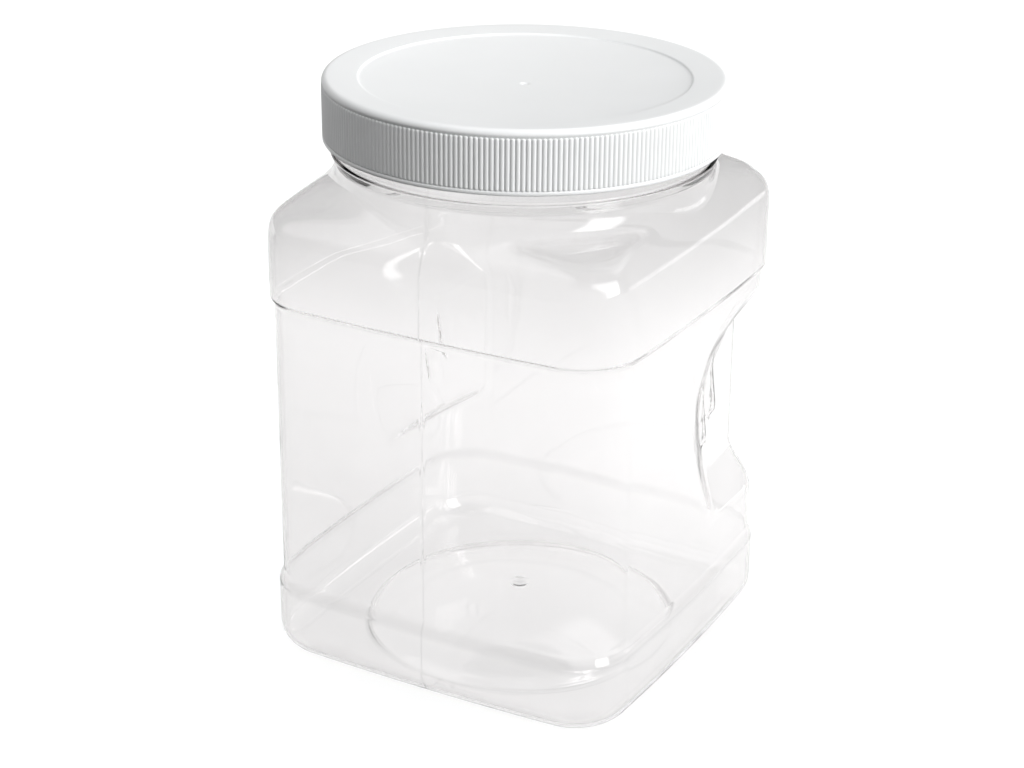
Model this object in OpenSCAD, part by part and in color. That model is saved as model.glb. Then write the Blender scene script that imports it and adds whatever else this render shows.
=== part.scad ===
// Square grip jar with a screw cap, used as a countertop disinfectant jar.
// Three pieces: a clear blow-moulded jar with two finger pockets at its rear corners,
// a ribbed screw cap, and the foam liner disc that seals the cap on the jar's lip.
// Millimetres. +Z is up, the origin is the centre of the base, and -Y is the front face.

/* [Body] */
// Width of the body across opposite faces, at the middle of each face
body_w = 116; // [114:1:120]
// How far the middle of a face swells past its ends
face_crown = 1; // [0.6:0.1:1.6]
// Radius of the upright corners
corner_r = 17.5; // [15:0.5:19]
// Thickness of the blown wall
wall = 0.8; // [0.6:0.1:1]
// How far the label panel is set back from the bands above and below it
panel_depth = 1.3; // [0.9:0.1:1.7]
// Height of the lower band's top edge
low_band_z = 22.4; // [19:0.2:26]
// Height of the upper band's bottom edge
high_band_z = 110.4; // [108:0.2:114]
// Radius of the edge between the walls and the base
base_edge_r = 8; // [6:0.5:9]

/* [Shoulder] */
// Height where the flat faces start to round in
face_turn_z = 126; // [125:0.5:127]
// Radius of that rounding
face_turn_r = 20; // [18:0.5:21]
// Height where the corners start to turn in
shoulder_z = 128; // [127:0.5:129]
// Radius of the corners' turn
shoulder_r = 12; // [11:0.5:13]
// Angle that the turn goes through before it gets tighter
shoulder_turn = 48; // [44:1:52]
// Slope at which the shoulder then runs up to the neck
shoulder_rise = 16; // [14:1:18]

/* [Base] */
// Radius of the circle where the base turns up into its dome
dome_r = 45.6; // [43:0.2:46]
// Height of the steep rim of the dome
dome_rim_h = 2.6; // [1.5:0.1:4]
// Height of the dome's centre above the table
dome_h = 10.6; // [7:0.2:12]

/* [Finger pockets] */
// Distance of a pocket's floor from the middle plane, at its front end
pocket_floor_x = 46; // [44:0.5:48]
// How much closer to the middle plane the floor lies at the rear face
pocket_floor_fall = 3; // [1:0.5:4]
// Place of the pocket's front edge in the panel, at middle height
pocket_front_y = -7; // [-10:0.5:-4]
// Place of the front edge of the pocket's floor, at middle height
pocket_floor_y = 23; // [21:0.5:26]
// Height where the pocket's roof leaves the panel
pocket_top_z = 104; // [101:0.5:106]
// Height where the pocket's roof meets its floor, towards the front
pocket_roof_z = 84; // [81:0.5:87]
// Height where the pocket's ledge meets its floor
pocket_ledge_z = 48.5; // [46:0.5:51]
// Height where the pocket's ledge leaves the panel
pocket_low_z = 39.5; // [37:0.5:42]
// Radius of the two grip ribs on a pocket's floor
grip_rib_r = 3; // [2.4:0.1:3.4]
// Height of a grip rib above the pocket's floor
grip_rib_h = 1.8; // [1.2:0.1:2.2]
// Length of a grip rib
grip_rib_len = 24; // [18:1:26]
// Distance between the two grip ribs
grip_rib_gap = 7.2; // [6.6:0.2:9]

/* [Neck] */
// Root radius of the neck, under the thread
neck_r = 53.3; // [53.1:0.1:53.4]
// Thickness of the neck
neck_wall = 1.7; // [1.4:0.1:2]
// Height of the lip that the liner seals on
lip_z = 167; // [166.9:0.01:167]
// Height of the top edge of the stiffening ring below the cap
ring_z = 149.5; // [149:0.1:150]
// Pitch of the single-start thread
thread_pitch = 5.08; // [5:0.01:5.15]
// Turns of thread on the neck, and in the cap
thread_turns = 1.25; // [1:0.05:1.3]
// Height of the middle of the neck thread's upper end
thread_top_z = 164.6; // [164:0.1:164.8]

/* [Cap] */
// Outer radius over the ribs
cap_r = 56.5; // [56.3:0.1:57]
// Height of the skirt's lower edge above the table
cap_low_z = 152.8; // [152.4:0.1:153]
// Height of the cap's rim above the table
cap_top_z = 170.4; // [170.2:0.1:171]
// Number of ribs around the skirt
cap_ribs = 260; // [200:10:280]
// Height of a rib's crest above the valleys
cap_rib_h = 0.5; // [0.3:0.05:0.6]
// Radius of the sunken panel on top
panel_r = 46; // [43:0.5:48]
// How far the middle of the sunken panel dips below its own rim
panel_dip = 2.1; // [1:0.1:2.4]

/* [Liner] */
// Thickness of the foam liner
liner_t = 0.8; // [0.6:0.1:0.8]
// Radius of the liner
liner_r = 54.6; // [54:0.1:54.7]

/* [Hidden] */
$fn = 96;
half_w = body_w / 2;
arc_steps = 7;                             // straight pieces in a quarter turn of an outline
crest_r = 4;                               // tighter radius at the shoulder's crest
turn_c = [corner_reach() + 0.3 - shoulder_r, shoulder_z];
crest_c = turn_c + (shoulder_r - crest_r) * [cos(shoulder_turn), sin(shoulder_turn)];
crest_end = crest_c + crest_r * [sin(shoulder_rise), cos(shoulder_rise)];
neck_foot_z = crest_end.y + (crest_end.x - neck_r) * tan(shoulder_rise);
pocket_rear_y = half_w + 4;                // the pockets run out past the rear face
pocket_mid_z = (pocket_top_z + pocket_low_z) / 2;
// Mouth of a pocket in the label panel and outline of its floor, as [y, z], point for point
pocket_mouth = [[pocket_front_y + 21, pocket_low_z], [pocket_rear_y, pocket_low_z - 2],
                [pocket_rear_y, pocket_top_z], [pocket_front_y - 10, pocket_top_z],
                [pocket_front_y, pocket_mid_z], [pocket_front_y + 13.5, pocket_ledge_z - 1]];
pocket_base = [[pocket_floor_y + 5, pocket_ledge_z], [pocket_rear_y, pocket_ledge_z - 3.5],
               [pocket_rear_y, pocket_roof_z + 10.5], [pocket_floor_y + 11, pocket_roof_z],
               [pocket_floor_y, pocket_mid_z], [pocket_floor_y + 2.5, pocket_ledge_z + 5.5]];
ledge_spread = 0.9;                        // extra height per wall thickness under the ledge
roof_spread = 0.6;                         // the same over the roof
grip_rib_y = 24.3;                         // middle of the first grip rib
grip_rib_z = 68;
grip_rib_tilt = 13;                        // how far the grip ribs lean back
grip_rib_step = 7.7;                       // the second grip rib above the first
neck_in_r = neck_r - neck_wall;
neck_root_z = face_turn_z + 9;             // the neck's root starts in the lower shoulder
neck_tube_z = 144.5;                       // the neck's tube starts above the shoulder
ring_h = 3;                                // height of the stiffening ring's slope
ring_out = 1.2;                            // how far that ring stands out
ring_edge_r = 0.4;                         // rounding of its top edge
thread_crest_r = neck_r + 1.3;             // crest of the neck's thread
skirt_in_r = 55;                           // inside of the cap's skirt
skirt_crest_r = skirt_in_r - 1.2;          // crest of the cap's thread
thread_root_w = 2.4;                       // axial width of a thread at its root
thread_crest_w = 1;                        // axial width of a thread at its crest
thread_embed = 0.5;                        // how far a thread's root is sunk in its wall
thread_offset = 1.62;                      // how far the cap's thread lies under the neck's
seal_gap = 0.05;                           // running gap on both sides of the liner
roof_z = lip_z + liner_t + 2 * seal_gap;   // underside of the cap's roof
step_drop = 1.1;                           // the sunken panel's rim below the cap's rim
roof_t = cap_top_z - step_drop - roof_z;   // thickness of the cap's roof at that rim
cap_edge_r = 1.6;                          // rounding of the cap's top edge
skirt_lip_h = 1.1;                         // plain lip under the cap's ribs
gate_r = 1;                                // the moulding gate's dimple in the middle of the cap
gate_depth = 0.4;
bead_gap = 0.7;                            // from the liner down to the bead that keeps it in the cap
bead_out = 0.6;                            // how far that bead stands into the cap
far = 200;                                 // longer than anything it cuts

// ---- Outlines ----

function turned(p, a) = [p.x * cos(a) - p.y * sin(a), p.x * sin(a) + p.y * cos(a)];

// Points of an arc about c, from angle a0 to angle a1
function arc(c, r, a0, a1, n = arc_steps) =
    [for (i = [0:n]) let (a = a0 + (a1 - a0) * i / n) [c.x + r * cos(a), c.y + r * sin(a)]];

// Radius of the long arc that a crowned face follows
function face_r(half) = pow(half - corner_r, 2) / (2 * face_crown);

// Centre of the corner arc, on the diagonal, where it is tangent to both faces
function corner_c(half, r) = let (big = face_r(half), g = big - half)
    (sqrt(2 * pow(big - r, 2) - g * g) - g) / 2;

function corner_reach() = corner_c(half_w, corner_r) * sqrt(2) + corner_r;

// Square with crowned faces and round corners, set in by an even distance
function body_outline(inset) =
    let (half = half_w - inset, r = corner_r - inset,
         big = face_r(half_w) - inset, c = corner_c(half_w, corner_r),
         a = atan2(c, c - half + big))
    [for (q = [0:3]) for (p = concat(arc([half - big, 0], big, -a, a, 5),
                                     arc([c, c], r, a + 2, 88 - a))) turned(p, 90 * q)];

module body_slab(inset, z0, z1) {
    translate([0, 0, z0]) linear_extrude(z1 - z0) polygon(body_outline(inset));
}

// ---- Jar body ----

// Upright bar with rounded lower and upper edges; it rounds two opposite faces at base and shoulder
module face_rounder(t) {
    r = base_edge_r;
    top_c = [half_w - face_turn_r, face_turn_z];
    profile = concat([[0, t]], arc([half_w - r, r], r - t, -90, 0),
                     arc(top_c, face_turn_r - t, 0, 90), [[0, top_c.y + face_turn_r - t]]);
    rotate([90, 0, 0]) for (s = [0, 1]) mirror([s, 0, 0])
        linear_extrude(far, center = true) polygon(profile);
}

// Turned form that rounds the corners at the base and at the shoulder
module corner_rounder(t) {
    r = base_edge_r;
    foot = neck_r - t;
    end = crest_end - t * [sin(shoulder_rise), cos(shoulder_rise)];
    foot_z = end.y + (end.x - foot) * tan(shoulder_rise);
    rotate_extrude() polygon(concat(
        [[0, t]],
        arc([turn_c.x + shoulder_r - r, r], r - t, -90, 0),
        arc(turn_c, shoulder_r - t, 0, shoulder_turn),
        arc(crest_c, crest_r - t, shoulder_turn + 7, 90 - shoulder_rise, 3),
        [[foot, foot_z], [0, foot_z]]));
}

// The body without its pockets, dome or neck; t sets it in evenly, for the inside of the wall
module body_form(t) {
    intersection() {
        union() {
            body_slab(t, 0, low_band_z - t);
            body_slab(panel_depth + t, low_band_z - t - 1, high_band_z + t + 1);
            body_slab(t, high_band_z + t, far);
        }
        face_rounder(t);
        rotate(90) face_rounder(t);
        corner_rounder(t);
    }
}

// Capsule lying along Z, turned as one piece
module capsule(r, len) {
    h = len / 2 - r;
    rotate_extrude() polygon(concat([[0, -h - r]], arc([0, -h], r, -90, 0, 6),
                                    arc([0, h], r, 0, 90, 6), [[0, h + r]]));
}

// Distance of a pocket's floor from the middle plane
function pocket_depth(y) =
    pocket_floor_x - pocket_floor_fall * (y - pocket_floor_y) / (half_w - pocket_floor_y);

// The two grip ribs on a pocket's floor, leaning back
module grip_ribs(t) {
    for (k = [0, 1]) {
        y = grip_rib_y + k * grip_rib_gap;
        translate([pocket_depth(y) - grip_rib_r + grip_rib_h, y, grip_rib_z + k * grip_rib_step])
            rotate([grip_rib_tilt, 0, 0]) capsule(grip_rib_r - t, grip_rib_len - 2 * t);
    }
}

// What a finger pocket takes away on the +X side: a form that widens from the floor through the
// mouth and out of the body. t moves its faces into the body.
module pocket_cut(t) {
    n = len(pocket_base);
    out_x = half_w + 3;
    panel_x = half_w - panel_depth;
    function spread(z) = z < pocket_mid_z ? -t * ledge_spread : t * roof_spread;
    inner = [for (p = pocket_base) [pocket_depth(p.x) - t, p.x, p.y + spread(p.y)]];
    mouth = [for (p = pocket_mouth) [panel_x - t, p.x, p.y + spread(p.y)]];
    outer = [for (i = [0:n - 1]) let (a = inner[i], m = mouth[i]) a + (m - a) * (out_x - a.x) / (m.x - a.x)];
    sides = [for (i = [0:n - 1]) let (j = (i + 1) % n) each [[i, n + i, n + j], [i, n + j, j]]];
    difference() {
        polyhedron(concat(inner, outer), convexity = 4,
                   faces = concat([[for (i = [0:n - 1]) i]], sides, [[for (i = [n - 1:-1:0]) n + i]]));
        grip_ribs(t);
    }
}

// The hollow under the base; t raises it, for the inside of the wall
module dome(t) {
    rise = dome_h - dome_rim_h;
    foot = dome_r + t;
    big = (foot * foot + rise * rise) / (2 * rise);
    rotate_extrude() polygon(concat([[0, -1], [foot + 1, -1]],
        arc([0, dome_h + t - big], big, 90 - asin(foot / big), 90, 8)));
}

// Solid root that carries the neck down into the lower shoulder over the flat faces
module neck_root() {
    translate([0, 0, neck_root_z]) cylinder(r = neck_r, h = neck_tube_z + 1 - neck_root_z);
}

// Neck tube with its round lip and the stiffening ring under the cap
module neck_tube() {
    lip = neck_wall / 4;
    ring_r = neck_r + ring_out;
    rotate_extrude() polygon(concat(
        [[neck_in_r, neck_tube_z], [neck_r, neck_tube_z], [neck_r, ring_z - ring_h],
         [ring_r - ring_edge_r / 2, ring_z - 2 * ring_edge_r]],
        arc([ring_r - ring_edge_r, ring_z - ring_edge_r], ring_edge_r, 0, 90, 3),
        [[neck_r, ring_z + ring_edge_r / 2]],
        arc([neck_r - lip, lip_z - lip], lip, 0, 90, 4),
        arc([neck_in_r + lip, lip_z - lip], lip, 90, 180, 4)));
}

// Helical thread from a wall of radius root to radius crest; it fades in and out at its ends
module thread(root, crest, embed, top_z) {
    n = round(thread_turns * 60);
    fade = 8;
    foot = root - sign(crest - root) * embed;
    rings = [for (i = [0:n])
        let (a = 360 * thread_turns * (i / n - 1),
             k = max(0.12, min(1, i / fade, (n - i) / fade)),
             z = top_z + thread_pitch * a / 360,
             tip = root + (crest - root) * k,
             w0 = thread_root_w / 2, w1 = thread_crest_w / 2 + (w0 - thread_crest_w / 2) * (1 - k))
        each [[foot * cos(a), foot * sin(a), z - w0], [tip * cos(a), tip * sin(a), z - w1],
              [tip * cos(a), tip * sin(a), z + w1], [foot * cos(a), foot * sin(a), z + w0]]];
    sides = [for (i = [0:n - 1]) for (j = [0:3])
        let (b = 4 * i, k = (j + 1) % 4)
        each [[b + j, b + k, b + 4 + k], [b + j, b + 4 + k, b + 4 + j]]];
    ends = [[3, 2, 1], [3, 1, 0], [4 * n, 4 * n + 1, 4 * n + 2], [4 * n, 4 * n + 2, 4 * n + 3]];
    faces = concat(sides, ends);
    polyhedron(rings, crest < root ? [for (f = faces) [f[2], f[1], f[0]]] : faces, convexity = 6);
}

module jar_body() {
    color([0.90, 0.92, 0.93, 0.45]) union() {
        difference() {
            union() {
                difference() {
                    body_form(0);
                    pocket_cut(0);
                    mirror([1, 0, 0]) pocket_cut(0);
                    dome(0);
                }
                neck_root();
            }
            difference() {
                body_form(wall);
                pocket_cut(wall);
                mirror([1, 0, 0]) pocket_cut(wall);
                dome(wall);
            }
            translate([0, 0, neck_root_z - 2]) cylinder(r = neck_in_r, h = 20);
        }
        neck_tube();
        thread(neck_r, thread_crest_r, thread_embed, thread_top_z);
    }
}

// ---- Cap ----

// Ring of rounded ribs; its inside is buried in the skirt
module skirt_ribs(z0, z1) {
    valley = cap_r - cap_rib_h;
    pitch = 360 / cap_ribs;
    outline = [for (i = [0:cap_ribs - 1]) for (p = [[0, 0], [0.3, 0.8], [0.5, 1], [0.7, 0.8]])
        let (a = (i + p[0]) * pitch, r = valley + cap_rib_h * p[1]) [r * cos(a), r * sin(a)]];
    translate([0, 0, z0]) linear_extrude(z1 - z0) difference() {
        polygon(outline);
        circle(r = valley - 0.4);
    }
}

module screw_cap() {
    skin_r = cap_r - cap_rib_h - 0.05;
    rim_r = cap_r - 0.08;
    step_z = cap_top_z - step_drop;
    big = (panel_r * panel_r + panel_dip * panel_dip) / (2 * panel_dip);
    side = asin(panel_r / big);
    centre_z = step_z - panel_dip + big;
    gate_z = step_z - panel_dip - gate_depth;
    bead_z = roof_z - liner_t - bead_gap;
    color([0.96, 0.97, 0.97]) union() {
        rotate_extrude() polygon(concat(
            [[skirt_in_r, cap_low_z + 0.3], [skirt_in_r + 0.3, cap_low_z], [cap_r - 0.3, cap_low_z],
             [cap_r + 0.05, cap_low_z + 0.35], [cap_r + 0.05, cap_low_z + skirt_lip_h],
             [skin_r, cap_low_z + skirt_lip_h + 0.2], [skin_r, cap_top_z - cap_edge_r - 0.9],
             [rim_r, cap_top_z - cap_edge_r - 0.4]],
            arc([rim_r - cap_edge_r, cap_top_z - cap_edge_r], cap_edge_r, 0, 90),
            [[panel_r + 0.4, step_z + 0.5]],
            arc([0, centre_z], big, -90 + side, -90 + asin(gate_r / big), 10),
            [[gate_r * 0.7, gate_z], [0, gate_z], [0, centre_z - big - roof_t]],
            arc([0, centre_z - roof_t], big, -89, -90 + side, 10),
            [[skirt_in_r, roof_z], [skirt_in_r, bead_z + bead_out / 2],
             [skirt_in_r - bead_out, bead_z], [skirt_in_r, bead_z - bead_out]]));
        skirt_ribs(cap_low_z + skirt_lip_h - 0.1, cap_top_z - cap_edge_r - 0.7);
        thread(skirt_in_r, skirt_crest_r, thread_embed, thread_top_z - thread_offset);
    }
}

// ---- Liner ----

module cap_liner() {
    big = (panel_r * panel_r + panel_dip * panel_dip) / (2 * panel_dip);
    side = asin(panel_r / big);
    top = roof_z - seal_gap;
    centre_z = top - panel_dip + big;
    color([0.93, 0.93, 0.90]) rotate_extrude() polygon(concat(
        [[0, centre_z - big - liner_t]],
        arc([0, centre_z - liner_t], big, -89.8, -90 + side, 10),
        [[liner_r, top - liner_t], [liner_r, top]],
        arc([0, centre_z], big, -90 + side, -89.8, 10),
        [[0, centre_z - big]]));
}

jar_body();
screw_cap();
cap_liner();
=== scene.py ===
"""Looks of the clear square grip jar with its white ribbed screw cap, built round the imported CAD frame.

The jar is one closed, double-walled shell of clear PET, the cap one closed polypropylene moulding, and the
foam liner is the CAD's own solid with a better material. Lengths are in millimetres until a mesh is made.
"""

import math

import bmesh
import bpy
import numpy as np
from mathutils import Matrix, Vector


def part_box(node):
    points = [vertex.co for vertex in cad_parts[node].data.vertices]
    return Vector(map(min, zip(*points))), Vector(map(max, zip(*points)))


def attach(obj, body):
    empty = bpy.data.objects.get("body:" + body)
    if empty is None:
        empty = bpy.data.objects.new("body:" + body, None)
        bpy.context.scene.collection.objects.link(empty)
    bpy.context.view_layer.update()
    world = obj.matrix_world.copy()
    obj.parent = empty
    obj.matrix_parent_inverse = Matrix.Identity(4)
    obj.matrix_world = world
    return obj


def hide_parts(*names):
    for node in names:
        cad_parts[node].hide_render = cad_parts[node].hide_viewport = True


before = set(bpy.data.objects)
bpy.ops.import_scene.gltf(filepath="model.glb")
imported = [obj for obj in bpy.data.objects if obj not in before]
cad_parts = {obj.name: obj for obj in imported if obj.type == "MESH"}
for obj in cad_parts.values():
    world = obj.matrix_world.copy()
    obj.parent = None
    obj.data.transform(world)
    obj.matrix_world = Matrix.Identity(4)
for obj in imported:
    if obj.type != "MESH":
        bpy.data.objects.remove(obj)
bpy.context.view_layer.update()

MM = 0.001


def box_mm(node):
    low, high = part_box(node)
    return np.array(low) / MM, np.array(high) / MM


jar_low, jar_high = box_mm("jar_body")
cap_low, cap_high = box_mm("screw_cap")

# ---- Sizes, mm ----

HALF = jar_high[0]            # middle of a body face
CROWN = 1.0                   # swell of a face's middle past its ends
CORNER = 17.5                 # upright corner radius
FACE_R = (HALF - CORNER) ** 2 / (2 * CROWN)        # radius a face is crowned to
WALL = 0.8
NECK_EXTRA = 0.9              # how much thicker the wall gets towards the neck
BASE_WALL = 1.1
PANEL = 1.3                   # depth of the label panel
LOW_BAND, HIGH_BAND = 22.4, 110.4
BASE_EDGE = 8.0               # rounding between the base and the walls
PARTING = 0.05                # depth of the parting line
LIP_Z = jar_high[2]           # top of the neck
NECK_R, NECK_IN = 53.3, 51.6
THREAD_PITCH, THREAD_TURNS = 5.08, 1.25
THREAD_TOP = LIP_Z - 2.4      # middle of the neck thread's upper end
THREAD_ROOT, THREAD_CREST = 1.2, 0.5               # half of the thread's width at its root and crest
THREAD_FADE = 0.75            # angle over which an end of the thread runs out, radians
NECK_THREAD_H, CAP_THREAD_H = 1.3, 1.2
THREAD_DROP = 1.62            # how far the cap's thread lies under the neck's
CAP_R = cap_high[0]
CAP_LOW, CAP_TOP = cap_low[2], cap_high[2]
SKIRT_IN = 55.0
FACE_TURN_Z, FACE_TURN_R = 126.0, 20.0     # where and how the flat faces round in at the shoulder
SHOULDER_Z, CORNER_TURN_R = 128.0, 12.0    # the same for the corners
CORNER_TURN = math.radians(48)             # angle that the corners turn through there
CORNER_RISE = math.radians(17)             # slope at which they then run up to the neck
COVE = 3.0                                 # fillet between the shoulder and the neck
REAR_RISE = 1.2                            # how much higher the shoulder lies at the rear than in the middle
UPPER_BAND_TOP = 116.0                     # where the rows of the walls end and those of the shoulder start
RING_Z = 149.5                             # top edge of the stiffening ring
NECK_FOOT_Z = RING_Z - 3.4
CAMERA_AZIMUTH = 28.72                     # of the photograph's view


# ---- Helpers ----

def ease(x, lo, hi):
    t = np.clip((np.asarray(x, float) - lo) / (hi - lo), 0, 1)
    return t * t * (3 - 2 * t)


def soft_min(a, b, k):
    h = np.clip(k - np.abs(a - b), 0, None) / k
    return np.minimum(a, b) - h * h * k / 4


def soft_max(a, b, k):
    return -soft_min(-a, -b, k)


def steps(lo, hi, n, first=False):
    """n even steps from lo to hi; lo itself is left out unless first is true."""
    values = np.linspace(lo, hi, n + 1)
    return list(values if first else values[1:])


def spaced(stops):
    """Stations from [(start, spacing), (next start, spacing), ..., (end, None)]."""
    out = [stops[0][0]]
    for (a, gap), (b, _) in zip(stops, stops[1:]):
        out += steps(a, b, max(1, round(abs(b - a) / gap)))
    return np.array(out)


def grid_normals(rows):
    """Unit normals of a grid of points, closed along its columns, pointing out of the shell."""
    along = np.roll(rows, -1, 1) - np.roll(rows, 1, 1)
    up = np.gradient(rows, axis=0)
    n = np.cross(along, up)
    return n / np.maximum(np.linalg.norm(n, axis=2, keepdims=True), 1e-12)


def ring_mesh(name, rings, body):
    """Closed mesh from rings of points. A ring of one point is a pole, and a ring of fewer points than its
    neighbour is joined to it by wider faces."""
    points = np.concatenate(rings) * MM
    faces, start = [], 0
    for a, b in zip(rings, rings[1:]):
        na, nb = len(a), len(b)
        s, t = start, start + na
        if na == nb:
            i = np.arange(na)
            j = (i + 1) % na
            faces += np.stack([s + i, s + j, t + j, t + i], 1).tolist()
        elif na == 1:
            faces += [(s, t + (i + 1) % nb, t + i) for i in range(nb)]
        elif nb == 1:
            faces += [(s + i, s + (i + 1) % na, t) for i in range(na)]
        elif na > nb:
            k = na // nb
            faces += [[s + (i * k + m) % na for m in range(k + 1)] + [t + (i + 1) % nb, t + i]
                      for i in range(nb)]
        else:
            k = nb // na
            faces += [[s + i, s + (i + 1) % na] + [t + ((i + 1) * k - m) % nb for m in range(k + 1)]
                      for i in range(na)]
        start = t
    mesh = bpy.data.meshes.new(name)
    mesh.from_pydata(points.tolist(), [], faces)
    mesh.polygons.foreach_set("use_smooth", [True] * len(mesh.polygons))
    mesh.update()
    obj = bpy.data.objects.new(name, mesh)
    bpy.context.scene.collection.objects.link(obj)
    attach(obj, body)
    return obj


# ---- Jar body ----

def outline_half():
    """Points and outward normals of the +X half of the outline, from the front's middle to the rear's."""
    g = FACE_R - HALF
    c = (math.sqrt(2 * (FACE_R - CORNER) ** 2 - g * g) - g) / 2        # centre of a corner, and a face's end
    tilt = math.atan2(c, c + g)                        # how far a face's arc turns by its end
    seam = [0, 0.22, 0.5, 1.0, 2.2]                    # stations that carry the parting line
    front = np.concatenate([seam, spaced([(2.2, 3.4), (c, None)])[1:]])
    side = spaced([(-c, 3.4), (-20, 1.2), (c, None)])
    points, normals = [], []

    def face(values, middle):
        """Stations along a face whose middle normal points at angle middle."""
        for v in values:
            a = math.asin(v / c * math.sin(tilt))
            n = np.array([math.cos(middle + a), math.sin(middle + a)])
            centre = -np.array([math.cos(middle), math.sin(middle)]) * g
            points.append(centre + n * FACE_R)
            normals.append(n)

    def corner(a0, a1, n, cx, cy):
        for a in steps(a0, a1, n)[:-1]:
            normal = np.array([math.cos(a), math.sin(a)])
            points.append(np.array([cx, cy]) + normal * CORNER)
            normals.append(normal)

    quarter = math.pi / 2
    face(front, -quarter)
    corner(-quarter + tilt, -tilt, 22, c, -c)
    face(side, 0)
    corner(tilt, quarter - tilt, 34, c, c)
    face(-front[::-1], quarter)
    return np.array(points), np.array(normals)


def outline():
    p, n = outline_half()
    flip = np.array([-1, 1])
    return np.concatenate([p, p[-2:0:-1] * flip]), np.concatenate([n, n[-2:0:-1] * flip])


POINTS, NORMALS = outline()
COLUMNS = len(POINTS)
RADII = np.linalg.norm(POINTS, axis=1)
ANGLES = np.arctan2(POINTS[:, 1], POINTS[:, 0])
SEAM = 1 - ease(np.abs(POINTS[:, 0]), 0.1, 0.5)        # 1 on the parting line


def panel_inset(z):
    return PANEL * (ease(z, LOW_BAND - 1.4, LOW_BAND + 2.6) - ease(z, HIGH_BAND - 2.2, HIGH_BAND + 0.6))


# Finger pockets: mouth in the label panel and outline of the floor, as (y, z), point for point
MOUTH = [(14, 39.5), (62, 37.5), (62, 104), (-17, 104), (-7, 71.75), (6.5, 47.5)]
FLOOR = [(28, 48.5), (62, 45), (62, 94.5), (34, 84), (23, 71.75), (25.5, 54)]
SIDE_BLEND = [4.5, 0, 3.5, 3.0, 2.5, 3.0]      # how softly each side of a pocket meets its floor
POCKET_LOW, POCKET_HIGH = 30, 112              # heights between which the walls are cut by the pockets
GRIP_Y, GRIP_Z = 24.3, 68.0                    # middle of the first grip rib
GRIP_STEP_Y, GRIP_STEP_Z = 7.2, 7.7            # from it to the second
GRIP_R, GRIP_REACH, GRIP_SUNK = 3.0, 9.0, 1.2  # radius, half of the straight length, depth of the centre line
GRIP_TILT = math.radians(13)


def outside(y, z, p, q):
    """Distance past the line from p to q, positive outside a counter-clockwise outline."""
    dy, dz = q[0] - p[0], q[1] - p[1]
    return ((y - p[0]) * dz - (z - p[1]) * dy) / math.hypot(dy, dz)


def pocket_depth(y):
    """x of a pocket's floor, which falls inward to the rear."""
    return 46 - 3 * (y - 23) / 35


def pocket_floor(y, z):
    """How far the body may reach in x at a place in the finger pocket: its floor, sides and grip ribs."""
    base = pocket_depth(y)
    x = base.copy()
    for i, k in enumerate(SIDE_BLEND):
        if k:
            j = (i + 1) % len(FLOOR)
            from_floor = outside(y, z, FLOOR[i], FLOOR[j])
            to_mouth = outside(y, z, MOUTH[i], MOUTH[j])
            share = from_floor / np.maximum(from_floor - to_mouth, 2)
            x = soft_max(x, base + (HALF - PANEL - base) * share, k)
    for k in (0, 1):
        ry, rz = GRIP_Y + GRIP_STEP_Y * k, GRIP_Z + GRIP_STEP_Z * k
        rx = pocket_depth(ry) - GRIP_SUNK
        tilt_y, tilt_z = -math.sin(GRIP_TILT), math.cos(GRIP_TILT)
        s = np.clip((y - ry) * tilt_y + (z - rz) * tilt_z, -GRIP_REACH, GRIP_REACH)
        d2 = (y - ry - s * tilt_y) ** 2 + (z - rz - s * tilt_z) ** 2
        bar = np.sqrt(np.clip(GRIP_R ** 2 - d2, 0, None)) - GRIP_R * (d2 > GRIP_R ** 2)
        x = soft_max(x, rx + bar, 0.8)
    return x


def wall_row(z, inset=0.0):
    """Ring of the walls at a height, with the label panel and the pockets in it."""
    p = POINTS - NORMALS * (inset + panel_inset(z))
    if POCKET_LOW < z < POCKET_HIGH:
        side, reach = np.sign(p[:, 0]), np.abs(p[:, 0])
        edge = 2.2 + 2.2 * ease(p[:, 1], 40, 56)       # the pockets' edges get softer to the rear
        x = soft_min(reach, pocket_floor(p[:, 1], np.full(COLUMNS, z)), edge)
        p[:, 0] = side * np.where(reach > HALF / 2, x, reach)
    return np.column_stack([p, np.full(COLUMNS, z)])


DOME_R, DOME_RIM, DOME_H = 45.6, 1.5, 10.6     # hollow under the base: radius, height of its rim, height
GATE_DEPTH = 0.5


def base_row(r):
    """Ring of the base's hollow, with the gate mark in its middle."""
    z = (DOME_H - DOME_RIM) * (1 - (r / DOME_R) ** 2) + DOME_RIM * (1 - ease(r, DOME_R - 3.0, DOME_R))
    z -= GATE_DEPTH * (1 - ease(r, 1.4, 3.2))
    return np.column_stack([r * np.cos(ANGLES), r * np.sin(ANGLES), np.full(COLUMNS, max(z, 0))])


def shoulder_top(p):
    """Height of the shoulder over points of the plan: the lower of the faces' and the corners' rounding."""
    rho = np.hypot(p[..., 0], p[..., 1])
    low = None
    for x, y in ((p[..., 0], p[..., 1]), (p[..., 1], p[..., 0])):
        t = np.clip(FACE_R - np.hypot(np.abs(x) + FACE_R - HALF, y), 0, FACE_TURN_R)
        z = FACE_TURN_Z + np.sqrt(2 * FACE_TURN_R * t - t * t)
        low = z if low is None else soft_min(low, z, 2.0)
    t = RADII.max() + 0.3 - rho
    t1 = CORNER_TURN_R * (1 - math.cos(CORNER_TURN))
    inner = np.clip(t, 0, t1)
    arc = SHOULDER_Z + np.sqrt(2 * CORNER_TURN_R * inner - inner ** 2)
    corner = arc + np.clip(t - t1, 0, None) * math.tan(CORNER_RISE)
    z = soft_min(low, corner, 2.5)
    cove = np.clip(rho - NECK_R, 0, COVE)
    return z + COVE - np.sqrt(COVE ** 2 - (COVE - cove) ** 2) + REAR_RISE * p[..., 1] / HALF


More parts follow.
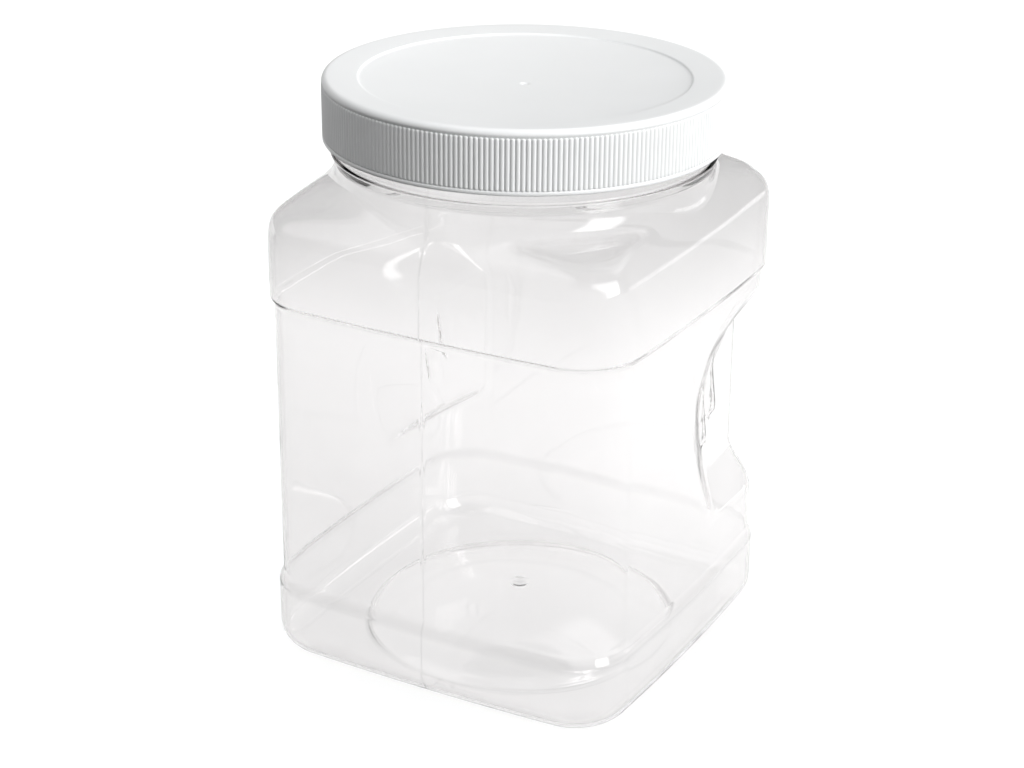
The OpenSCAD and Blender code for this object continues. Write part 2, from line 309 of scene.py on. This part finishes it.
def shoulder_rows(z0, z1, n):
    """Rows from the upper band to the neck, evenly spaced along the surface and smoothed along it."""
    share = np.linspace(0, 1, 90)[:, None, None] ** 2
    top = POINTS * (1 - share * (1 - NECK_R / RADII)[:, None])
    top = np.concatenate([top, shoulder_top(top)[..., None]], 2)
    low, foot = top[0], top[-1]
    f = np.linspace(0, 1, 40)[:, None, None]
    wall = low * f + np.column_stack([POINTS, np.full(COLUMNS, z0)]) * (1 - f)
    neck = foot * (1 - f) + np.column_stack([foot[:, :2], np.full(COLUMNS, z1)]) * f
    path = np.concatenate([wall, top[1:], neck[1:]])
    step = np.linalg.norm(np.diff(path, axis=0), axis=2)
    along = np.concatenate([np.zeros((1, COLUMNS)), np.cumsum(step, 0)])
    rows = np.empty((n + 1, COLUMNS, 3))
    for c in range(COLUMNS):
        want = np.linspace(0, along[-1, c], n + 1)
        for k in range(3):
            rows[:, c, k] = np.interp(want, along[:, c], path[:, c, k])
    for _ in range(9):
        rows[1:-1] = rows[1:-1] / 2 + (rows[:-2] + rows[2:]) / 4
    return rows


def thread_height(angle, z, top):
    """0 to 1, how far the thread stands out of its wall at an angle and height."""
    out = np.zeros(np.broadcast(angle, z).shape)
    start = -2 * math.pi * THREAD_TURNS
    for turn in range(-3, 1):
        a = angle + 2 * math.pi * turn                 # angle counted back from the thread's upper end
        mid = top + THREAD_PITCH * a / (2 * math.pi)
        fade = ease(a, start, start + THREAD_FADE) * (1 - ease(a, -THREAD_FADE, 0))
        root, crest = THREAD_ROOT * fade, THREAD_CREST * fade
        bump = 1 - np.clip((np.abs(z - mid) - crest) / np.maximum(root - crest, 1e-3), 0, 1)
        out = np.maximum(out, np.where((a > start) & (a < 0), bump * fade, 0))
    return out


def neck_row(z):
    """Ring of the neck at a height, with the stiffening ring and the thread on it."""
    angle = np.mod(ANGLES, 2 * math.pi)
    ring = np.interp(z - RING_Z, [-3, -0.7, -0.35, -0.1, 0.15], [0, 1, 1.15, 0.95, 0])
    r = NECK_R + ring + NECK_THREAD_H * thread_height(angle, z, THREAD_TOP)
    return np.column_stack([r * np.cos(ANGLES), r * np.sin(ANGLES), np.full(COLUMNS, z)])


def circle_row(r, z, n=None):
    """Circle of n points, or of one point for each column of the jar."""
    a = ANGLES if n is None else np.arange(n) * 2 * math.pi / n
    return np.column_stack([r * np.cos(a), r * np.sin(a), np.full(len(a), z)])


def make_jar():
    """The whole jar as one closed shell: outside from the gate mark up to the lip, then back down inside."""
    rows, thick = [], []

    def add_row(row, t):
        rows.append(row)
        thick.append(t)

    for r in [0.8, 1.6, 2.2, 2.8, 3.4, 6, 11, 17, 23, 29, 35, 40, 42.2, 43.0, 43.8, 44.5, 45.1, 45.6]:
        add_row(base_row(r), BASE_WALL)
    rim = wall_row(0, BASE_EDGE)
    for f in (0.12, 0.45, 1.0):
        row = base_row(DOME_R) * (1 - f) + rim * f
        row[:, 2] = 0
        add_row(row, 1.0)
    foot = len(rows)                                   # first row of the walls, where the parting line starts
    for a in steps(0, math.pi / 2, 9):
        row = wall_row(0, BASE_EDGE * (1 - math.sin(a)))
        row[:, 2] = BASE_EDGE * (1 - math.cos(a))
        add_row(row, WALL)
    heights = spaced([(BASE_EDGE, 3.6), (LOW_BAND - 1.8, 0.4), (LOW_BAND + 3, 2.8), (34, 1.6), (106.6, 0.8),
                      (HIGH_BAND - 2.4, 0.3), (HIGH_BAND + 0.8, 3.0), (UPPER_BAND_TOP, None)])[1:]
    for z in heights:
        add_row(wall_row(z), WALL)
    for row in shoulder_rows(UPPER_BAND_TOP, NECK_FOOT_Z, 36)[1:]:
        add_row(row, WALL)
    body = np.array(rows)
    thick = np.array(thick)[:, None] + NECK_EXTRA * ease(body[:, :, 2], 130, NECK_FOOT_Z)
    normals = grid_normals(body)
    seam = SEAM[None] * (np.arange(len(rows)) >= foot)[:, None]
    body = body - normals * (PARTING * seam)[:, :, None]
    inner = body - normals * thick[:, :, None]
    neck = [neck_row(RING_Z + z)
            for z in [-3, -2, -1.2, -0.7, -0.5, -0.35, -0.2, -0.1, 0, 0.15, 0.6, 3]]
    neck += [neck_row(z) for z in np.arange(154.6, LIP_Z - 1.2, 0.46)]
    lip = [circle_row(NECK_R - 0.42 + 0.42 * math.cos(a), LIP_Z - 0.42 + 0.42 * math.sin(a))
           for a in steps(0, math.pi / 2, 4, True)]
    lip += [circle_row(NECK_IN + 0.42 - 0.42 * math.sin(a), LIP_Z - 0.42 + 0.42 * math.cos(a))
            for a in steps(0, math.pi / 2, 4)]
    inside_neck = [circle_row(NECK_IN, 158), circle_row(NECK_IN, NECK_FOOT_Z + 0.4)]
    pole_out = np.array([[0, 0, base_row(0.0)[0, 2]]])
    pole_in = pole_out + [[0, 0, BASE_WALL]]
    rings = [pole_out] + list(body) + neck + lip + inside_neck + list(inner[-3::-1]) + [pole_in]
    return ring_mesh("jar_shell", rings, "jar")


jar = make_jar()
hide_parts("jar_body")


# ---- Cap ----

RIBS, RIB_STEPS, RIB_H = 260, 8, 0.35
RIB_SHARE = 0.82              # share of the pitch that a rib takes up, the rest being the gap
FINE, COARSE = RIBS * RIB_STEPS, RIBS * 2          # points round the ribbed skirt and round the rest
PANEL_R, DIP, STEP = 46.0, 2.1, 1.1                # sunken panel: radius, dish in its middle, edge's step
ROOF_Z = LIP_Z + 0.9
EDGE = 1.6                    # rounding of the cap's top edge
BEAD_DROP, BEAD_OUT = 1.5, 0.5                     # bead that holds the liner: depth under the roof, height


def rib_row(z, low, high):
    """Ring of the ribbed skirt; each rib is a bar with round ends at heights low and high."""
    a = np.arange(FINE) * 2 * math.pi / FINE
    pitch = 2 * math.pi * CAP_R / RIBS
    half = pitch / 2 * RIB_SHARE
    across = (np.arange(FINE) % RIB_STEPS / RIB_STEPS - 0.5) * pitch
    past = max(0.0, low + half - z, z - high + half)
    d2 = (across ** 2 + past ** 2) / half ** 2
    r = CAP_R - RIB_H + RIB_H * np.sqrt(np.clip(1 - d2, 0, 1)) ** 0.8
    return np.column_stack([r * np.cos(a), r * np.sin(a), np.full(FINE, z)])


def cap_inside_row(z):
    """Ring of the skirt's inside, with the cap's thread on it."""
    a = np.arange(COARSE) * 2 * math.pi / COARSE
    r = SKIRT_IN - CAP_THREAD_H * thread_height(a, z, THREAD_TOP - THREAD_DROP)
    return np.column_stack([r * np.cos(a), r * np.sin(a), np.full(COARSE, z)])


def dish(r, top):
    """Height of the dished panel, or of the roof under it, at a radius."""
    return top - DIP * (1 - (r / PANEL_R) ** 2)


def cap_rings():
    """Rings of the cap, from its lower edge over the outside and back through the inside."""
    rib_low = CAP_LOW + 1.2
    rib_top = CAP_TOP - EDGE - 0.6
    rings = [circle_row(SKIRT_IN + 0.3, CAP_LOW, COARSE), circle_row(CAP_R - 0.9, CAP_LOW, COARSE)]
    for r, z in [(CAP_R - 0.35, 0.0), (CAP_R - 0.12, 0.08), (CAP_R - 0.01, 0.3), (CAP_R - 0.01, 0.85),
                 (CAP_R - 0.1, 1.05), (CAP_R - RIB_H + 0.02, 1.16)]:
        rings.append(circle_row(r, CAP_LOW + z, FINE))
    rib_ends = [0.02, 0.1, 0.2, 0.36, 0.55, 0.75]
    rings += [rib_row(rib_low + z, rib_low, rib_top) for z in rib_ends]
    rings += [rib_row(rib_top - z, rib_low, rib_top) for z in reversed(rib_ends)]
    rim_r = CAP_R - 0.1
    rings.append(circle_row(CAP_R - RIB_H + 0.06, rib_top + 0.1, FINE))
    rings.append(circle_row(rim_r - 0.12, rib_top + 0.32, FINE))
    for a in steps(0, math.pi / 2, 7, True)[:-1]:
        rings.append(circle_row(rim_r - EDGE + EDGE * math.cos(a), CAP_TOP - EDGE + EDGE * math.sin(a), FINE))
    step_z = CAP_TOP - STEP
    for r, z in [(rim_r - EDGE, 0), (54.2, -0.02), (53.4, -0.08), (51, -0.25), (48.5, -0.43), (47.0, -0.54),
                 (46.6, -0.58), (46.42, -0.66), (46.3, -0.82), (46.18, -0.98), (45.95, -1.07), (45.4, -1.13)]:
        rings.append(circle_row(r, CAP_TOP + z, COARSE))
    for r in [44, 41, 37, 32, 26, 19, 12, 6, 3, 1.9]:
        rings.append(circle_row(r, dish(r, step_z), COARSE))
    for r, z in [(1.35, -0.05), (1.05, -0.22), (0.8, -0.36), (0.4, -0.34)]:
        rings.append(circle_row(r, dish(r, step_z) + z, COARSE))
    rings.append(np.array([[0, 0, step_z - DIP - 0.3]]))
    rings.append(np.array([[0, 0, ROOF_Z - DIP + 0.02]]))
    for r in [2, 8, 16, 24, 32, 39, 44, 45.6]:
        rings.append(circle_row(r, dish(r, ROOF_Z), COARSE))
    rings.append(circle_row(46.6, ROOF_Z, COARSE))
    rings.append(circle_row(SKIRT_IN - 0.3, ROOF_Z, COARSE))
    bead = ROOF_Z - BEAD_DROP
    for r, z in [(SKIRT_IN, ROOF_Z - 0.3), (SKIRT_IN, bead + 0.3), (SKIRT_IN - BEAD_OUT, bead + 0.08),
                 (SKIRT_IN - BEAD_OUT, bead - 0.1), (SKIRT_IN, bead - 0.5)]:
        rings.append(circle_row(r, z, COARSE))
    for z in np.arange(THREAD_TOP - 0.3, CAP_LOW + 0.6, -0.36):
        rings.append(cap_inside_row(z))
    rings.append(circle_row(SKIRT_IN, CAP_LOW + 0.3, COARSE))
    rings.append(rings[0])
    return rings


def closed_ring_mesh(name, rings, body):
    """Ring mesh whose last ring is its first one again, with the two joined."""
    obj = ring_mesh(name, rings, body)
    tool = bmesh.new()
    tool.from_mesh(obj.data)
    bmesh.ops.remove_doubles(tool, verts=tool.verts, dist=1e-7)
    tool.to_mesh(obj.data)
    tool.free()
    return obj


cap = closed_ring_mesh("cap_moulding", cap_rings(), "cap")
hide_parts("screw_cap")


# ---- Materials ----

def new_material(name):
    """Empty node material and its tree."""
    mat = bpy.data.materials.new(name)
    mat.use_nodes = True
    mat.node_tree.nodes.clear()
    return mat, mat.node_tree


def add(tree, kind, inputs=None, **settings):
    """New node; an input is either a value or the output it is linked to."""
    n = tree.nodes.new(kind)
    for key, value in settings.items():
        setattr(n, key, value)
    for key, value in (inputs or {}).items():
        if isinstance(value, bpy.types.NodeSocket):
            tree.links.new(value, n.inputs[key])
        else:
            n.inputs[key].default_value = value
    return n


def maths(tree, kind, a, b=None, clamp=False):
    inputs = {0: a} if b is None else {0: a, 1: b}
    return add(tree, "ShaderNodeMath", inputs, operation=kind, use_clamp=clamp).outputs[0]


def direction(azimuth, elevation):
    """Unit vector from the object to a place seen at an azimuth and elevation, in degrees."""
    a, e = math.radians(azimuth), math.radians(elevation)
    return Vector((math.sin(a) * math.cos(e), -math.cos(a) * math.cos(e), math.sin(e)))


def dot(t, vector, axis):
    node = add(t, "ShaderNodeVectorMath", {0: vector, 1: tuple(axis)}, operation="DOT_PRODUCT")
    return node.outputs["Value"]


def ramp(t, value, lo, hi, a, b):
    """Smooth step from a to b while value goes from lo to hi."""
    limits = {"Value": value, "From Min": lo, "From Max": hi, "To Min": a, "To Max": b}
    return add(t, "ShaderNodeMapRange", limits, interpolation_type="SMOOTHSTEP").outputs[0]


def blend(t, share, a, b):
    """a where share is 0, b where it is 1."""
    return add(t, "ShaderNodeMix", {0: share, 2: a, 3: b}, data_type="FLOAT").outputs[0]


def soft_box(t, vector, azimuth, elevation, wide, tall, edge=0.06):
    """1 inside a rectangle seen in a direction, wide and tall as tangents of half its angles; 0 outside."""
    middle = direction(azimuth, elevation)
    right = middle.cross(Vector((0, 0, 1))).normalized()
    up = right.cross(middle)
    ahead = maths(t, "MAXIMUM", dot(t, vector, middle), 0.001)
    u = maths(t, "ABSOLUTE", maths(t, "DIVIDE", dot(t, vector, right), ahead))
    v = maths(t, "ABSOLUTE", maths(t, "DIVIDE", dot(t, vector, up), ahead))
    return maths(t, "MULTIPLY", ramp(t, u, wide - edge, wide + edge, 1, 0),
                 ramp(t, v, tall - edge, tall + edge, 1, 0))


def clear_pet():
    """Clear PET that bends light for real. Its colour is darkened as painted shade at grazing edges, standing
    in for dark reflections, and along the lower band's step. It is also darker where the blown wall is
    thicker: towards the neck, on the front's parting line and at the gate mark."""
    mat, t = new_material("clear_pet")
    place = add(t, "ShaderNodeTexCoord").outputs["Object"]
    wave = add(t, "ShaderNodeTexNoise", {"Vector": place, "Scale": 40.0, "Detail": 1.0}).outputs[0]
    bump = add(t, "ShaderNodeBump", {"Strength": 0.10, "Distance": 0.001, "Height": wave}).outputs[0]
    facing = add(t, "ShaderNodeLayerWeight", {"Blend": 0.5}).outputs["Facing"]
    x, y, height = add(t, "ShaderNodeSeparateXYZ", {0: place}).outputs[:3]
    radius = maths(t, "SQRT", maths(t, "ADD", maths(t, "MULTIPLY", x, x), maths(t, "MULTIPLY", y, y)))
    # Painted shade: a darker band along the lower band's step.
    step = maths(t, "MULTIPLY", ramp(t, height, 0.0190, 0.0212, 0.0, 0.03),
                 ramp(t, height, 0.0222, 0.0250, 1.0, 0.0))
    parting = maths(t, "MULTIPLY", ramp(t, maths(t, "ABSOLUTE", x), 0.0001, 0.0003, 0.05, 0.0),
                    maths(t, "LESS_THAN", y, -0.046))
    gate = ramp(t, radius, 0.0016, 0.0026, 0.05, 0.0)
    # Sum of a random tone, the darkening towards the neck, the painted shade of the step, the parting line
    # and the gate mark.
    marks_and_painted_shade = maths(t, "MULTIPLY", wave, 0.012)
    for part in (ramp(t, height, 0.103, 0.135, 0.0, 0.065), step, parting, gate):
        marks_and_painted_shade = maths(t, "ADD", marks_and_painted_shade, part)
    # Painted shade: the colour darkens at grazing edges, standing in for the dark reflections along the jar's
    # outline.
    edge = maths(t, "MULTIPLY", maths(t, "POWER", facing, 14.0), 0.3)
    keep = maths(t, "SUBTRACT", 1.0, maths(t, "ADD", edge, marks_and_painted_shade), True)
    tint_and_painted_shade = add(t, "ShaderNodeCombineColor", {0: maths(t, "MULTIPLY", keep, 0.994),
                                             1: maths(t, "MULTIPLY", keep, 0.991),
                                             2: maths(t, "MULTIPLY", keep, 0.991)}).outputs[0]
    glass = add(t, "ShaderNodeBsdfGlass", {"Color": tint_and_painted_shade, "Roughness": 0.0, "IOR": 1.575, "Normal": bump})
    light = add(t, "ShaderNodeLightPath")
    dim = maths(t, "MAXIMUM", light.outputs["Is Shadow Ray"], light.outputs["Is Diffuse Ray"])
    plain = add(t, "ShaderNodeBsdfTransparent", {"Color": (0.985, 0.985, 0.985, 1)})
    out = add(t, "ShaderNodeMixShader", {0: dim, 1: glass.outputs[0], 2: plain.outputs[0]}).outputs[0]
    add(t, "ShaderNodeOutputMaterial", {"Surface": out})
    return mat


def white_pp():
    """White polypropylene, faintly clouded, with a fine grain."""
    mat, t = new_material("white_pp")
    place = add(t, "ShaderNodeTexCoord").outputs["Object"]
    cloud = add(t, "ShaderNodeTexNoise", {"Vector": place, "Scale": 60.0, "Detail": 3.0}).outputs[0]
    grain = add(t, "ShaderNodeTexNoise", {"Vector": place, "Scale": 2600.0, "Detail": 2.0}).outputs[0]
    colour = add(t, "ShaderNodeMix", {0: cloud, 6: (0.715, 0.725, 0.728, 1), 7: (0.752, 0.76, 0.763, 1)},
                 data_type="RGBA").outputs[2]
    rough = maths(t, "ADD", maths(t, "MULTIPLY", cloud, 0.12), 0.34)
    bump = add(t, "ShaderNodeBump", {"Strength": 0.10, "Distance": 0.0002, "Height": grain}).outputs[0]
    shade = add(t, "ShaderNodeBsdfPrincipled", {"Base Color": colour, "Roughness": rough, "Normal": bump,
                                                "IOR": 1.49}).outputs[0]
    add(t, "ShaderNodeOutputMaterial", {"Surface": shade})
    return mat


def foam():
    """Pale foam with small cells."""
    mat, t = new_material("foam_liner")
    place = add(t, "ShaderNodeTexCoord").outputs["Object"]
    cells = add(t, "ShaderNodeTexVoronoi", {"Vector": place, "Scale": 1400.0}).outputs["Distance"]
    cloud = add(t, "ShaderNodeTexNoise", {"Vector": place, "Scale": 80.0, "Detail": 3.0}).outputs[0]
    colour = add(t, "ShaderNodeMix", {0: cloud, 6: (0.66, 0.66, 0.63, 1), 7: (0.74, 0.74, 0.71, 1)},
                 data_type="RGBA").outputs[2]
    bump = add(t, "ShaderNodeBump", {"Strength": 0.25, "Distance": 0.0003, "Height": cells}).outputs[0]
    shade = add(t, "ShaderNodeBsdfPrincipled", {"Base Color": colour, "Roughness": 0.75, "Normal": bump})
    add(t, "ShaderNodeOutputMaterial", {"Surface": shade.outputs[0]})
    return mat


jar.data.materials.append(clear_pet())
cap.data.materials.append(white_pp())
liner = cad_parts["cap_liner"]
liner.data.materials.clear()
liner.data.materials.append(foam())


# ---- Stage, light and camera ----

def make_floor():
    """White floor. For what mirrors it, for what is seen through the jar and for what it lights, it is
    painted
    darker, by amounts that change across it: painted reflection and painted shade."""
    size, n = 4.0, 8
    side = np.linspace(-size, size, n + 1)
    gap = 0.0002                                       # so that the floor and the base don't meet
    verts = [(x, y, -gap) for y in side for x in side]
    faces = [(j * (n + 1) + i, j * (n + 1) + i + 1, (j + 1) * (n + 1) + i + 1, (j + 1) * (n + 1) + i)
             for j in range(n) for i in range(n)]
    mesh = bpy.data.meshes.new("floor")
    mesh.from_pydata(verts, [], faces)
    floor = bpy.data.objects.new("floor", mesh)
    bpy.context.scene.collection.objects.link(floor)
    mat, t = new_material("floor_white")
    light = add(t, "ShaderNodeLightPath").outputs
    place = add(t, "ShaderNodeNewGeometry").outputs["Position"]
    # Painted reflection: the floor is darker, by place, for what mirrors it.
    mirrored = ramp(t, dot(t, place, direction(CAMERA_AZIMUTH + 150, 0)), -0.25, 0.15, 0.45, 0.0)
    # Painted shade on the floor as seen through the jar, by place, with more of it further back to the right.
    through = ramp(t, dot(t, place, direction(CAMERA_AZIMUTH + 90, 0)), -0.22, 0.12, 0.23, 0.04)
    far = ramp(t, dot(t, place, direction(CAMERA_AZIMUTH + 130, 0)), 0.17, 0.29, 0.04, 0.16)
    radius = add(t, "ShaderNodeVectorMath", {0: place}, operation="LENGTH").outputs["Value"]
    # Less of this painted shade under the middle of the jar: painted light that makes up for the cap's shadow
    # there.
    through = maths(t, "MULTIPLY", maths(t, "MAXIMUM", through, far), ramp(t, radius, 0.02, 0.055, 0.1, 1.0))
    painted_floor_shade = maths(t, "MULTIPLY", light["Is Reflection Ray"], mirrored)
    painted_floor_shade = maths(t, "MAXIMUM", painted_floor_shade, maths(t, "MULTIPLY", light["Is Transmission Ray"], through))
    # Painted shade for what the floor lights: it is nearly black to diffuse rays.
    painted_floor_shade = maths(t, "MAXIMUM", painted_floor_shade, maths(t, "MULTIPLY", light["Is Diffuse Ray"], 0.95))
    tone = maths(t, "SUBTRACT", 0.97, painted_floor_shade)
    white = add(t, "ShaderNodeBsdfDiffuse", {"Color": tone}).outputs[0]
    add(t, "ShaderNodeOutputMaterial", {"Surface": white})
    mesh.materials.append(mat)


make_floor()


def make_world():
    """White to the eye, with a key light from the right and a soft one overhead for everything it lights.
    What the jar mirrors, and what is seen through it, has light boxes of its own."""
    world = bpy.data.worlds.new("studio")
    bpy.context.scene.world = world
    world.use_nodes = True
    t = world.node_tree
    t.nodes.clear()
    vector = add(t, "ShaderNodeTexCoord").outputs["Generated"]
    height = dot(t, vector, (0, 0, 1))

    def light_box(turn, elevation, wide, tall, power, edge=0.06):
        """Light box at an azimuth counted from the camera's."""
        box = soft_box(t, vector, CAMERA_AZIMUTH + turn, elevation, wide, tall, edge)
        return maths(t, "MULTIPLY", box, power)

    key = dot(t, vector, direction(CAMERA_AZIMUTH + 56, 14))
    lit = maths(t, "ADD", ramp(t, key, 0.92, 0.985, 0.0, 11.8), ramp(t, height, 0.6, 1.0, 0.0, 2.5))
    boxes = 0.0
    for box in [(50, 28, 0.22, 0.42, 3.8), (140, 55, 0.3, 0.2, 0.8), (-80, 45, 0.3, 0.5, 0.8)]:
        boxes = maths(t, "ADD", light_box(*box), boxes)
    side = dot(t, vector, direction(CAMERA_AZIMUTH + 80, 0))
    mirrored = maths(t, "ADD", boxes, ramp(t, side, -0.6, 0.8, 0.3, 0.6))
    low = light_box(117, 3, 0.25, 0.05, 2.2, 0.03)
    through = maths(t, "ADD", maths(t, "ADD", boxes, low), ramp(t, height, 0.3, 0.9, 1.0, 0.75))
    light = add(t, "ShaderNodeLightPath").outputs
    shown = blend(t, light["Is Reflection Ray"], lit, mirrored)
    shown = blend(t, light["Is Transmission Ray"], shown, through)
    shown = blend(t, light["Is Camera Ray"], shown, 1.0)
    back = add(t, "ShaderNodeBackground", {"Color": (1, 1, 1, 1), "Strength": shown}).outputs[0]
    add(t, "ShaderNodeOutputWorld", {"Surface": back})


make_world()


def make_camera():
    """The photograph's view, with a long lens from above the front right."""
    distance, height = 0.60434, 0.33324
    yaw, pitch, roll = math.radians(CAMERA_AZIMUTH + 0.28), math.radians(23.01), math.radians(0.49)
    a = math.radians(CAMERA_AZIMUTH)
    place = Vector((math.sin(a) * distance, -math.cos(a) * distance, height))
    ahead = Vector((-math.sin(yaw) * math.cos(pitch), math.cos(yaw) * math.cos(pitch), -math.sin(pitch)))
    right = ahead.cross(Vector((0, 0, 1))).normalized()
    up = right.cross(ahead)
    side = right * math.cos(roll) + up * math.sin(roll)
    top = up * math.cos(roll) - right * math.sin(roll)
    data = bpy.data.cameras.new("camera")
    data.sensor_width = 36
    data.lens = 78.69
    data.clip_start, data.clip_end = 0.01, 50
    camera = bpy.data.objects.new("camera", data)
    camera.matrix_world = Matrix(((side.x, top.x, -ahead.x, place.x), (side.y, top.y, -ahead.y, place.y),
                                  (side.z, top.z, -ahead.z, place.z), (0, 0, 0, 1)))
    bpy.context.scene.collection.objects.link(camera)
    bpy.context.scene.camera = camera


make_camera()
scene = bpy.context.scene
scene.view_settings.view_transform = "Standard"
scene.cycles.use_denoising = True
scene.cycles.transparent_max_bounces = 40
scene.cycles.max_bounces = 32
scene.cycles.transmission_bounces = 32
scene.cycles.glossy_bounces = 12
